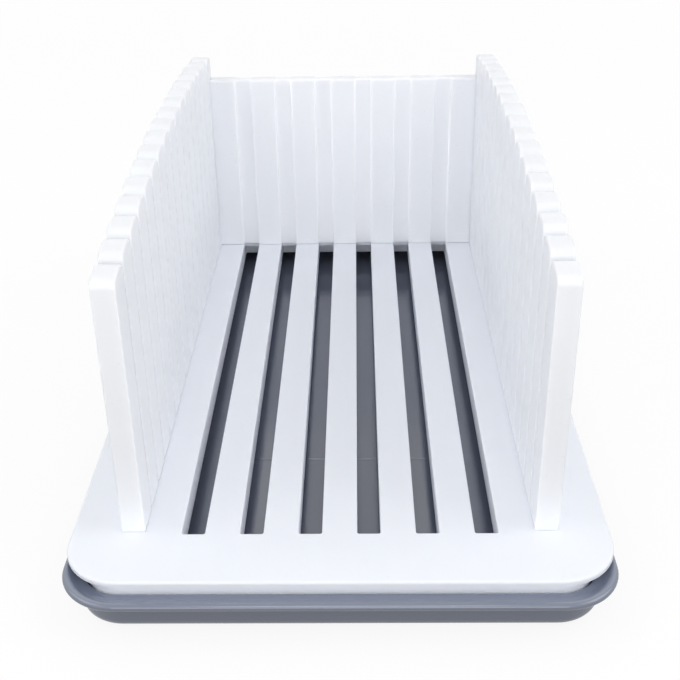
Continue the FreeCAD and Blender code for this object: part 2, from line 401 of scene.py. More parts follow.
    @staticmethod
    def _whole_faces(block: np.ndarray, sources: np.ndarray) -> list[tuple[np.ndarray, np.ndarray]]:
        """Faces that keep all their corners after the weld, and quads that become triangles.

        Args:
            block: Faces as welded points.
            sources: The same faces as points before the weld.

        Returns:
            Pairs of faces and the points that give their normals.
        """
        same = block == np.roll(block, -1, axis=1)
        whole = ~same.any(axis=1)
        found = [(block[whole], sources[whole])] if whole.any() else []
        if block.shape[1] == 4:
            for corner in range(4):
                thin = same[:, corner] & (same.sum(axis=1) == 1)
                if thin.any():
                    found.append((
                        np.delete(block[thin], corner, axis=1),
                        np.delete(sources[thin], corner, axis=1),
                    ))
        return found


def rounded_span(
    ends: tuple[float, float],
    rounds: tuple[np.ndarray | float, np.ndarray | float],
    steps: tuple[int, int],
) -> tuple[np.ndarray, np.ndarray, np.ndarray]:
    """Section of a flat face whose two ends are rounded by quarter circles.

    Args:
        ends: Where the face starts and where it ends.
        rounds: Radius at its start and at its end, or a column of radii for each.
        steps: Chords in each quarter circle.

    Returns:
        Places along the face, how far each is drawn in behind the flat, and the normal's angle
        from the flat's.
    """
    start = np.linspace(-QUARTER, 0.0, steps[0] + 1)
    end = np.linspace(0.0, QUARTER, steps[1] + 1)
    rising = ends[0] + rounds[0] * (1 + np.sin(start))
    falling = ends[1] - rounds[1] * (1 - np.sin(end))
    drawn_in = [rounds[0] * (1 - np.cos(start)), rounds[1] * (1 - np.cos(end))]
    along = np.concatenate([rising, falling], axis=-1)
    return along, np.concatenate(drawn_in, axis=-1), np.concatenate([start, end])


def rim_runs(
    low: float,
    high: float,
    top_round: float,
    foot_round: float,
    side: int = 1,
) -> list[Run]:
    """Section of an upright wall, with its two edges rounded by quarter circles.

    Args:
        low: Height of the wall's foot.
        high: Height of the wall's top.
        top_round: Radius of the upper edge.
        foot_round: Radius of the lower edge.
        side: 1 for a wall that faces outwards, -1 for the wall of a hole.

    Returns:
        The section's runs.
    """
    runs = [Run.line((0.0, low + foot_round), (0.0, high - top_round), side)]
    if foot_round > 0:
        centre = (-side * foot_round, low + foot_round)
        runs.append(Run.arc(centre, foot_round, 90 - side * 180, 90 - side * 90))
    if top_round > 0:
        centre = (-side * top_round, high - top_round)
        runs.append(Run.arc(centre, top_round, 90 - side * 90, 90))
    return runs


def add_block(
    skin: Skin,
    size: tuple[float, float],
    middle: tuple[float, float],
    low: float,
    high: float,
    corner: float,
    edge: float,
) -> None:
    """Upright block with round corners and softened upper and lower edges.

    Args:
        skin: Skin that the block goes into.
        size: Width across X and length along Y.
        middle: Centre in plan.
        low: Height of its foot.
        high: Height of its top.
        corner: Radius of the upright corners.
        edge: Radius of the level edges.
    """
    outline = Outline.rounded(size, corner, middle, BLOCK_STEPS)
    skin.sweep(outline, rim_runs(low, high, edge, edge))
    skin.fill([outline.moved(-edge)], high, 1)
    skin.fill([outline.moved(-edge)], low, -1)


# ---------------------------------------------------------------- shader graphs


class Signal:
    """A shader socket that takes part in Python sums, each one a Math node."""

    def __init__(self, graph: "Graph", socket: bpy.types.NodeSocket) -> None:
        """Wrap a socket of a graph's node."""
        self.graph = graph
        self.socket = socket

    def _sum(self, operation: str, first: Any, second: Any) -> "Signal":
        """Math node on two values, either of which may be a plain number."""
        node = self.graph.node("ShaderNodeMath", {"operation": operation}, {0: first, 1: second})
        return node.signal("Value")

    def __add__(self, other: Any) -> "Signal":
        """Sum."""
        return self._sum("ADD", self, other)

    def __radd__(self, other: Any) -> "Signal":
        """Sum, reflected."""
        return self._sum("ADD", other, self)

    def __sub__(self, other: Any) -> "Signal":
        """Difference."""
        return self._sum("SUBTRACT", self, other)

    def __rsub__(self, other: Any) -> "Signal":
        """Difference, reflected."""
        return self._sum("SUBTRACT", other, self)

    def __mul__(self, other: Any) -> "Signal":
        """Product."""
        return self._sum("MULTIPLY", self, other)

    def __rmul__(self, other: Any) -> "Signal":
        """Product, reflected."""
        return self._sum("MULTIPLY", other, self)

    def maximum(self, other: Any) -> "Signal":
        """The greater of the two."""
        return self._sum("MAXIMUM", self, other)

    def between(self, low: float, high: float) -> "Signal":
        """Smooth step.

        Args:
            low: Value at and below which the step is 0.
            high: Value at and above which the step is 1.

        Returns:
            The step, from 0 to 1.
        """
        settings = {"interpolation_type": "SMOOTHSTEP"}
        sockets = {"Value": self, "From Min": low, "From Max": high}
        return self.graph.node("ShaderNodeMapRange", settings, sockets).signal("Result")


@dataclass(frozen=True)
class GraphNode:
    """A node of a shader graph."""

    graph: "Graph"
    node: bpy.types.Node

    def signal(self, name: str) -> Signal:
        """Output socket of that name, ready for sums."""
        return Signal(self.graph, self.node.outputs[name])


class Graph:
    """The node tree of one material or world."""

    def __init__(self, tree: bpy.types.NodeTree) -> None:
        """Clear a node tree and take it over."""
        tree.nodes.clear()
        self.tree = tree

    def node(
        self,
        kind: str,
        settings: dict[str, Any] | None = None,
        sockets: dict[Any, Any] | None = None,
    ) -> GraphNode:
        """Add a node.

        Args:
            kind: The node's type.
            settings: Its properties, which are set first.
            sockets: Values or signals of its inputs, by name or number.

        Returns:
            The node.
        """
        made = self.tree.nodes.new(kind)
        for name, value in (settings or {}).items():
            setattr(made, name, value)
        for name, value in (sockets or {}).items():
            if isinstance(value, Signal):
                self.tree.links.new(value.socket, made.inputs[name])
            else:
                made.inputs[name].default_value = value
        return GraphNode(self, made)

    def place(self, scale: tuple[float, float, float] = (1.0, 1.0, 1.0)) -> Signal:
        """Object coordinates in metres, stretched along each axis."""
        sockets = {"Vector": self.node("ShaderNodeTexCoord").signal("Object"), "Scale": scale}
        return self.node("ShaderNodeMapping", None, sockets).signal("Vector")

    def rise(self) -> Signal:
        """Upward part of the surface's normal: 1 on a level top and 0 on an upright wall."""
        facing = self.node("ShaderNodeNewGeometry").signal("Normal")
        return self.node("ShaderNodeSeparateXYZ", None, {"Vector": facing}).signal("Z")

    def noise(
        self,
        size: float,
        detail: float,
        stretch: tuple[float, float, float] = (1.0, 1.0, 1.0),
    ) -> Signal:
        """Cloudy noise from 0 to 1.

        Args:
            size: Width of its patches, in millimetres.
            detail: Finer layers on top.
            stretch: How much denser the pattern is along each axis.

        Returns:
            The noise.
        """
        sockets = {"Vector": self.place(stretch), "Scale": 1 / (size * MM), "Detail": detail}
        return self.node("ShaderNodeTexNoise", None, sockets).signal("Fac")

    def tint(self, color: tuple[float, float, float], level: Signal) -> Signal:
        """A colour multiplied by a level."""
        sockets = {0: (*color,), "Scale": level}
        return self.node("ShaderNodeVectorMath", {"operation": "SCALE"}, sockets).signal("Vector")

    def bump(self, height: Signal, depth: float, under: Signal | None = None) -> Signal:
        """Normal of a relief.

        Args:
            height: The relief, from 0 to 1.
            depth: Its full depth, in millimetres.
            under: Normal of a coarser relief below it.

        Returns:
            The normal.
        """
        sockets: dict[Any, Any] = {"Height": height, "Distance": depth * MM, "Strength": 1.0}
        if under is not None:
            sockets["Normal"] = under
        return self.node("ShaderNodeBump", None, sockets).signal("Normal")


@dataclass(frozen=True)
class Finish:
    """A surface with a fine grain, whose colour and roughness vary over it."""

    name: str
    color: tuple[float, float, float]
    roughness: float
    grain_size: float
    grain_depth: float

    def _sockets(self, graph: Graph) -> dict[str, Any]:
        """Inputs of the shader, which each kind of finish works out."""
        raise NotImplementedError

    def material(self) -> bpy.types.Material:
        """The finish as a material.

        Returns:
            The material.
        """
        made = bpy.data.materials.new(self.name)
        made.use_nodes = True
        graph = Graph(made.node_tree)
        settings = {"subsurface_method": "BURLEY"}
        shader = graph.node("ShaderNodeBsdfPrincipled", settings, self._sockets(graph))
        graph.node("ShaderNodeOutputMaterial", None, {"Surface": shader.signal("BSDF")})
        made.diffuse_color = (*self.color, 1.0)
        return made


@dataclass(frozen=True)
class MouldedPlastic(Finish):
    """Moulded plastic with a fine grain, faint clouds of colour and marks of use.

    The glow is the share of the light that spreads under the surface, over its reach in
    millimetres. Faces that look up have painted light in their colour: they are made lighter by
    a set share, or darker where that share is negative, which is painted shade. Sizes of patterns
    are in millimetres, and limits are the values between which a pattern fades in.
    """

    ripple_depth: float
    streak: tuple[float, float, float]
    streak_shade: float
    cloud_shade: float
    speck_shade: float
    specular: float = 0.5
    # share of painted light on faces that look up; a negative share is painted shade
    painted_up_light: float = 0.0
    glow: float = 0.0
    glow_reach: float = 2.5
    glow_color: tuple[float, float, float] = (1.0, 0.9, 0.8)
    cloud_size: float = 46.0
    streak_size: float = 5.0
    ripple_size: float = 7.0
    scuff_size: float = 9.0
    scuff_stretch: tuple[float, float, float] = (1.0, 0.12, 1.0)
    scuff_limits: tuple[float, float] = (0.56, 0.74)
    speck_size: float = 1.1
    speck_limits: tuple[float, float] = (0.80, 0.86)
    # normal heights between which the painted light on upward faces fades in
    painted_light_rise_limits: tuple[float, float] = (0.2, 0.9)
    cloud_rough: float = 0.10
    scuff_rough: float = 0.07
    streak_rough: float = 0.05

    def _sockets(self, graph: Graph) -> dict[str, Any]:
        """Inputs of the shader.

        The level that multiplies the colour is 1, plus the clouds, the streaks and the painted light
        on faces that look up, less the specks. The roughness varies with the clouds, scuffs and
        streaks.

        Args:
            graph: Graph that the nodes go into.

        Returns:
            Signals and values by the names of the sockets.
        """
        clouds = graph.noise(self.cloud_size, detail=3.0) - NOISE_MIDDLE
        streaks = graph.noise(self.streak_size, detail=2.0, stretch=self.streak) - NOISE_MIDDLE
        scuffs = graph.noise(self.scuff_size, detail=5.0, stretch=self.scuff_stretch)
        specks = graph.noise(self.speck_size, detail=0.0).between(*self.speck_limits)
        # painted light and shade: faces that look up are made lighter or darker by a set share
        painted_up_light = graph.rise().between(*self.painted_light_rise_limits) * self.painted_up_light
        level = 1.0 + clouds * self.cloud_shade + streaks * self.streak_shade + painted_up_light
        rubbed = scuffs.between(*self.scuff_limits) * self.scuff_rough
        rough = self.roughness + clouds * self.cloud_rough + rubbed + streaks * self.streak_rough
        ripple = graph.bump(graph.noise(self.ripple_size, detail=1.0), self.ripple_depth)
        grain = graph.noise(self.grain_size, detail=2.0)
        return {
            "Base Color": graph.tint(self.color, level - specks * self.speck_shade),
            "Roughness": rough,
            "Normal": graph.bump(grain, self.grain_depth, ripple),
            "Specular IOR Level": self.specular,
            "Subsurface Weight": self.glow,
            "Subsurface Radius": self.glow_color,
            "Subsurface Scale": self.glow_reach * MM,
        }


@dataclass(frozen=True)
class FootRubber(Finish):
    """Matt rubber with a fine speckle, and patches that vary its colour and sheen.

    The base level is the brightness before speckles are added; the patch size is in millimetres.
    """

    base_level: float = 0.86
    speckle_shade: float = 0.22
    patch_size: float = 6.0
    patch_shade: float = 0.12
    patch_rough: float = 0.16

    def _sockets(self, graph: Graph) -> dict[str, Any]:
        """Inputs of the shader.

        The level that multiplies the colour is the base level plus the speckle and the patches.
        The roughness varies with the patches.

        Args:
            graph: Graph that the nodes go into.

        Returns:
            Signals by the names of the sockets.
        """
        speckle = graph.noise(self.grain_size, detail=3.0)
        patches = graph.noise(self.patch_size, detail=2.0) - NOISE_MIDDLE
        level = self.base_level + speckle * self.speckle_shade + patches * self.patch_shade
        return {
            "Base Color": graph.tint(self.color, level),
            "Roughness": self.roughness + patches * self.patch_rough,
            "Normal": graph.bump(speckle, self.grain_depth),
        }


TRAY_FINISH = MouldedPlastic(
    name="grey_tray_plastic",
    color=(0.145, 0.168, 0.232),
    roughness=0.14,
    grain_size=0.5,
    grain_depth=0.006,
    ripple_depth=0.02,
    streak=(0.3, 1.0, 1.0),
    streak_shade=0.03,
    cloud_shade=0.06,
    speck_shade=0.04,
    specular=1.0,
    # painted light: faces of the tray that look up are painted lighter
    painted_up_light=0.12,
)
BOARD_FINISH = MouldedPlastic(
    name="white_board_plastic",
    color=(0.87, 0.895, 0.95),
    roughness=0.5,
    grain_size=0.45,
    grain_depth=0.008,
    ripple_depth=0.02,
    streak=(1.0, 0.08, 1.0),
    streak_shade=0.012,
    cloud_shade=0.018,
    speck_shade=0.05,
    specular=0.25,
    glow=0.7,
)
WALL_FINISH = MouldedPlastic(
    name="white_wall_plastic",
    color=(0.925, 0.94, 0.975),
    roughness=0.5,
    grain_size=0.5,
    grain_depth=0.012,
    ripple_depth=0.02,
    streak=(1.0, 1.0, 0.05),
    streak_shade=0.012,
    cloud_shade=0.018,
    speck_shade=0.06,
    specular=0.25,
    # painted shade: faces of the walls that look up are painted darker
    painted_up_light=-0.08,
    glow=0.7,
)
FOOT_FINISH = FootRubber(
    name="grey_foot_rubber",
    color=(0.055, 0.058, 0.064),
    roughness=0.78,
    grain_size=0.6,
    grain_depth=0.03,
)


def finish_piece(
    piece: bpy.types.Object,
    body: Body,
    slot: Slot,
    material: bpy.types.Material,
    *nodes: str,
) -> None:
    """Dress a piece, put it on its body and let it stand for its nodes.

    Args:
        piece: The piece.
        body: The body that it moves with.
        slot: The record's material slot; not used.
        material: Its finish.
        nodes: The nodes that it replaces.
    """
    piece.data.materials.append(material)
    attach(piece, body.value)
    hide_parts(*nodes)
    log.info("%s: %d faces on %s", piece.name, len(piece.data.polygons), body.value)


# ---------------------------------------------------------------- slotted board


@dataclass(frozen=True)
class Bed:
    """Sizes that the board, the walls and the end panel share."""

    slot_count: int = 6
    slot_pitch: float = 20.0
    slot_width: float = 8.0
    slot_lead: float = 1.2
    flute_depth: float = 1.3
    tongue_width: float = 5.0
    tongue_inset: float = 3.0
    tab_width: float = 5.0
    tab_thickness: float = 2.4

    @property
    def top(self) -> float:
        """Height of the bed."""
        return NodeBox.of("slotted_board").high[2]

    @property
    def slots(self) -> np.ndarray:
        """Middle of each slot across the bed."""
        return (np.arange(self.slot_count) - (self.slot_count - 1) / 2) * self.slot_pitch

    @property
    def bars(self) -> np.ndarray:
        """Middle of each bar between slots, and of the strip outside the outer slots."""
        return (np.arange(self.slot_count + 1) - self.slot_count / 2) * self.slot_pitch


@dataclass
class SlottedBoard:
    """Plate with crumb slots, its skirt, and the collars, channels and pockets below it."""

    bed: Bed
    finish: bpy.types.Material
    box: NodeBox = field(default_factory=lambda: NodeBox.of("slotted_board"))
    plate: float = 2.0
    plate_corner: float = 20.5
    plate_round: float = 0.9
    skirt_inset: float = 8.5
    skirt_wall: float = 2.0
    skirt_corner: float = 12.0
    skirt_foot_round: float = 1.3
    slot_corner: float = 0.8
    slot_round: float = 0.35
    slot_reach: float = 1.3
    slot_depth: float = 9.0
    undercut: float = 8.0
    collar_wall: float = 1.6
    edge: float = 0.35
    fit: float = 0.3
    rib_count: int = 3
    rib_thickness: float = 1.6
    rib_depth: float = 3.0
    rib_edge: float = 0.3
    corner_steps: int = 16
    slot_steps: int = 5
    socket_steps: int = 3

    @property
    def underside(self) -> float:
        """Height of the plate's underside."""
        return self.bed.top - self.plate

    def _slot_outlines(self, x: float) -> list[Outline]:
        """Outlines of one slot: in the plate, inside its collar and outside its collar.

        Args:
            x: Middle of the slot.

        Returns:
            The three outlines.
        """
        front = NodeBox.of("right_comb").low[1] - self.bed.slot_lead
        rear = NodeBox.of("back_panel").low[1] + self.bed.flute_depth
        outlines = []
        for reach, wall in (
            (self.slot_reach, 0.0),
            (self.undercut, 0.0),
            (self.undercut, self.collar_wall),
        ):
            size = (self.bed.slot_width + 2 * wall, rear + reach - front + 2 * wall)
            middle = (x, (front + rear + reach) / 2)
            outlines.append(Outline.rounded(size, self.slot_corner + wall, middle, self.slot_steps))
        return outlines

    def _add_slot(self, skin: Skin, x: float) -> tuple[np.ndarray, np.ndarray]:
        """One slot with its soft upper edge and its collar.

        Args:
            skin: Skin that it goes into.
            x: Middle of the slot.

        Returns:
            The holes that it makes in the plate's top and underside.
        """
        in_plate, inside, outside = self._slot_outlines(x)
        low = self.bed.top - self.slot_depth
        skin.sweep(in_plate, rim_runs(self.underside, self.bed.top, self.slot_round, 0.0, side=-1))
        skin.loft([in_plate.at(0.0, self.underside), inside.at(0.0, self.underside)], (0, 0, -1))
        skin.sweep(inside, rim_runs(low, self.underside, 0.0, self.edge, side=-1))
        skin.sweep(outside, rim_runs(low, self.underside, 0.0, self.edge))
        skin.fill([outside.moved(-self.edge), inside.moved(self.edge)], low, -1)
        return in_plate.moved(self.slot_round), outside.points

    def _add_socket(
        self,
        skin: Skin,
        size: tuple[float, float],
        middle: tuple[float, float],
        floor: float,
    ) -> tuple[np.ndarray, np.ndarray]:
        """One channel or pocket that takes a tongue or a tab.

        Args:
            skin: Skin that it goes into.
            size: Width and length of the hole.
            middle: Its centre in plan.
            floor: Height of the hole's floor.

        Returns:
            The holes that it makes in the plate's top and underside.
        """
        wall = self.collar_wall
        hole = Outline.rounded(size, self.edge, middle, self.socket_steps)
        hull_size = (size[0] + 2 * wall, size[1] + 2 * wall)
        hull = Outline.rounded(hull_size, self.edge + wall, middle, self.socket_steps)
        skin.sweep(hole, rim_runs(floor, self.bed.top, self.edge / 2, 0.0, side=-1))
        skin.fill([hole.points], floor, 1)
        skin.sweep(hull, rim_runs(floor - wall, self.underside, 0.0, self.edge))
        skin.fill([hull.moved(-self.edge)], floor - wall, -1)
        return hole.moved(self.edge / 2), hull.points

    def _add_sockets(self, skin: Skin) -> list[tuple[np.ndarray, np.ndarray]]:
        """Channels for the walls' tongues and pockets for the end panel's tabs.

        Args:
            skin: Skin that they go into.

        Returns:
            The holes that each one makes in the plate's top and underside.
        """
        comb, panel, bed = NodeBox.of("right_comb"), NodeBox.of("back_panel"), self.bed
        play = 2 * self.fit
        channel = (bed.tongue_width + play, comb.size(1) - 2 * bed.tongue_inset + play)
        pocket = (bed.tab_width + play, bed.tab_thickness + play)
        sites = [(comb, channel, side.value * comb.middle(0)) for side in Side]
        sites += [(panel, pocket, float(x)) for x in bed.bars]
        return [
            self._add_socket(skin, size, (x, box.middle(1)), box.low[2] - self.fit)
            for box, size, x in sites
        ]

    def _add_shell(self, skin: Skin, holes: list[tuple[np.ndarray, np.ndarray]]) -> None:
        """Plate and skirt, with the holes that the slots and sockets leave in them.

        Args:
            skin: Skin that they go into.
            holes: Each hole's loop in the plate's top and in its underside.
        """
        width, length = self.box.size(0), self.box.size(1)
        inset, wall = self.skirt_inset, self.skirt_wall
        plate, skirt, inner = (
            Outline.rounded(size, corner, steps=self.corner_steps)
            for size, corner in (
                ((width, length), self.plate_corner),
                ((width - 2 * inset, length), self.skirt_corner),
                ((width - 2 * (inset + wall), length - 2 * wall), self.skirt_corner - wall),
            )
        )
        foot = self.box.low[2]
        skin.sweep(plate, rim_runs(self.underside, self.bed.top, self.plate_round, 0.0))
        tops = [top for top, _ in holes]
        skin.fill([plate.moved(-self.plate_round)] + tops, self.bed.top, 1)
        skin.sweep(skirt, rim_runs(foot, self.underside, 0.0, self.skirt_foot_round))
        skin.sweep(inner, rim_runs(foot, self.underside, 0.0, self.edge, side=-1))
        skin.fill([skirt.moved(-self.skirt_foot_round), inner.moved(self.edge)], foot, -1)
        skin.fill([plate.points, skirt.points], self.underside, -1)
        skin.fill([inner.points] + [below for _, below in holes], self.underside, -1)

    def _add_ribs(self, skin: Skin) -> None:
        """Stiffening ribs under the plate, each in stretches between collars, channels and skirt.

        A stretch is sunk halfway into the wall that it meets at each end.

        Args:
            skin: Skin that they go into.
        """
        channel = NodeBox.of("right_comb").middle(0)
        channel_reach = (self.bed.tongue_width + self.collar_wall) / 2 + self.fit
        collar_reach = (self.bed.slot_width + self.collar_wall) / 2
        middles = np.concatenate([[-channel], self.bed.slots, [channel]])
        reach = np.full(len(middles), collar_reach)
        reach[[0, -1]] = channel_reach
        edge = self.box.size(0) / 2 - self.skirt_inset - self.skirt_wall / 2
        starts = np.concatenate([[-edge], middles + reach])
        ends = np.concatenate([middles - reach, [edge]])
        low, high = self.underside - self.rib_depth, self.underside + self.plate / 2
        lines = np.linspace(-self.box.size(1) / 2, self.box.size(1) / 2, self.rib_count + 2)
        for y in lines[1:-1]:
            for start, end in zip(starts, ends):
                size = (float(end - start), self.rib_thickness)
                middle = (float(start + end) / 2, float(y))
                add_block(skin, size, middle, low, high, self.rib_edge, self.rib_edge)

    def build(self) -> None:
        """Make and dress the board."""
        skin = Skin()
        holes = [self._add_slot(skin, float(x)) for x in self.bed.slots]
        holes += self._add_sockets(skin)
        self._add_shell(skin, holes)
        self._add_ribs(skin)
        board = skin.mesh("slotted_bread_board")
        finish_piece(board, Body.BOARD, Slot.BOARD, self.finish, "slotted_board")


# ---------------------------------------------------------------- comb walls


@dataclass
class CombWall:
    """A wall of upright slats on one tongue, with knife gaps between the slats."""

    bed: Bed
    side: Side
    finish: bpy.types.Material
    slat_count: int = 17
    knife_gap: float = 2.2
    front_height: float = 94.8
    crown_height: float = 105.65
    rear_height: float = 99.6
    outer_round: float = 1.0
    inner_round: float = 0.35
    inner_top_round: float = 0.7
    top_round: float = 3.5
    reveal: float = 0.03
    reveal_depth: float = 0.15
    tongue_corner: float = 0.6
    tongue_edge: float = 0.4
    inner_steps: int = 6
    outer_steps: int = 8
    top_steps: int = 7
    neck_steps: int = 3

    @property
    def box(self) -> NodeBox:
        """Box of the right wall's node; the left wall mirrors it."""
        return NodeBox.of("right_comb")

    def _height(self, y: float) -> float:
        """Height of the arch: the circle through its heights at the front, middle and rear.

        Args:
            y: Place along the wall.

        Returns:
            The height above the floor.
        """
        half = self.box.size(1) / 2
        front, crown, rear = self.front_height, self.crown_height, self.rear_height
        # y^2 + z^2 + a y + b z + c = 0 at (-half, front), (0, crown) and (half, rear)
        matrix = np.array([[-half, front, 1.0], [0.0, crown, 1.0], [half, rear, 1.0]])
        squares = -np.array([half**2 + front**2, crown**2, half**2 + rear**2])
        a, b, c = np.linalg.solve(matrix, squares)
        middle_y, middle_z = -a / 2, -b / 2
        radius = math.sqrt(middle_y**2 + middle_z**2 - c)
        return self.bed.top + middle_z + math.sqrt(radius**2 - (y - middle_y) ** 2)

    def _side_view(self, front: float, rear: float) -> tuple[np.ndarray, float]:
        """Normals of a slat's side view, from its front foot over the top to its rear foot.

        Args:
            front: Y of its front face.
            rear: Y of its rear face.

        Returns:
            Normals as an array of Y and Z, and the slope of the top edge.
        """
        slope = (self._height(rear) - self._height(front)) / (rear - front)
        lean = QUARTER + math.atan(slope)
        turns = [np.linspace(*ends, self.top_steps + 1) for ends in ((HALF_TURN, lean), (lean, 0.0))]
        angle = np.concatenate([[HALF_TURN], *turns, [0.0]])
        return np.stack([np.cos(angle), np.sin(angle)], axis=1), slope

    def _across(self, rise: np.ndarray) -> tuple[np.ndarray, np.ndarray, np.ndarray]:
        """Rounding of a slat's edges inside and outside, at each point of its side view.

        The inside radius grows with the rise of the side view's normal, from the upright
        edges to the top edge. The outside radius is the same all round.

        Args:
            rise: Upward part of the side view's normals.

        Returns:
            X and how far the side view is drawn in, for each point and step across, and the
            normal's angle towards +X for each step across.
        """
        inner = self.inner_round + (self.inner_top_round - self.inner_round) * np.abs(rise)[:, None]
        outer = np.full((len(rise), 1), self.outer_round)
        ends = (self.box.low[0], self.box.high[0])
        return rounded_span(ends, (inner, outer), (self.inner_steps, self.outer_steps))

    def _drawn_view(self, front: float, rear: float, drawn_in: np.ndarray) -> np.ndarray:
        """Side view of a slat, drawn in from its full size.

        A corner is an arc about a centre that lies top_round from both edges, or as far as the
        view is drawn in where that is more, so that a corner drawn in past its radius is sharp.

        Args:
            front: Y of the front face.
            rear: Y of the rear face.
            drawn_in: How far each point is drawn in, in rows along the view.

        Returns:
            Y and Z of each point.
        """
        normals, slope = self._side_view(front, rear)
        centre = np.maximum(self.top_round, drawn_in)
        half = len(normals) // 2
        base = np.where(np.arange(len(normals)) < half, front, rear)[:, None]
        way = np.where(np.arange(len(normals)) < half, 1.0, -1.0)[:, None]
        top = np.where(way > 0, self._height(front), self._height(rear))
        y = base + way * centre + (centre - drawn_in) * normals[:, :1]
        fall = centre * (math.hypot(1.0, slope) - way * slope)
        z = top - fall + (centre - drawn_in) * normals[:, 1:]
        y[[0, -1]] = base[[0, -1]] + way[[0, -1]] * drawn_in[[0, -1]]
        z[[0, -1]] = self.bed.top + self.reveal
        return np.dstack([y, z])

    def _add_slat(self, skin: Skin, front: float, rear: float) -> None:
        """One slat: its side view carried across the wall, drawn in at the rounded edges.

        Args:
            skin: Skin that it goes into.
            front: Y of its front face.
            rear: Y of its rear face.
        """
        normals, _ = self._side_view(front, rear)
        x, drawn_in, angle = self._across(normals[:, 1])
        plane = self._drawn_view(front, rear, drawn_in)
        points = np.dstack([x, plane])
        side = np.broadcast_to(np.sin(angle), plane.shape[:2])
        facing = normals[:, None, :] * np.cos(angle)[None, :, None]
        skin.grid(points, np.dstack([side, facing]))
        half = len(normals) // 2
        for column, direction in ((0, -1.0), (-1, 1.0)):
            skin.band(points[:half, column], points[::-1][:half, column], (direction, 0.0, 0.0))
        rim = np.vstack([points[0, :, :2], points[-1, ::-1, :2]])
        skin.fill([rim], self.bed.top + self.reveal, -1)
        neck_size = (self.box.size(0) - 2 * self.reveal_depth, rear - front - 2 * self.reveal_depth)
        neck_middle = (self.box.middle(0), (front + rear) / 2)
        neck = Outline.rounded(neck_size, self.inner_round, neck_middle, self.neck_steps)
        skin.sweep(neck, [Run.line((0.0, self.bed.top), (0.0, self.bed.top + self.reveal))])
        skin.fill([neck.points], self.bed.top, -1)
        skin.fill([neck.points], self.bed.top + self.reveal, 1)

    def build(self) -> None:
        """Make and dress the wall."""
        skin = Skin()
        pitch = (self.box.size(1) + self.knife_gap) / self.slat_count
        for index in range(self.slat_count):
            front = self.box.low[1] + index * pitch
            self._add_slat(skin, front, front + pitch - self.knife_gap)
        size = (self.bed.tongue_width, self.box.size(1) - 2 * self.bed.tongue_inset)
        middle = (self.box.middle(0), self.box.middle(1))
        add_block(
            skin, size, middle, self.box.low[2], self.bed.top, self.tongue_corner, self.tongue_edge
        )
        if self.side is Side.LEFT:
            skin.mirror()
        name = self.side.name.lower()
        wall = skin.mesh(f"{name}_comb_wall")
        body = Body.LEFT_WALL if self.side is Side.LEFT else Body.RIGHT_WALL
        finish_piece(wall, body, Slot.WALL, self.finish, f"{name}_comb")


# ---------------------------------------------------------------- end panel


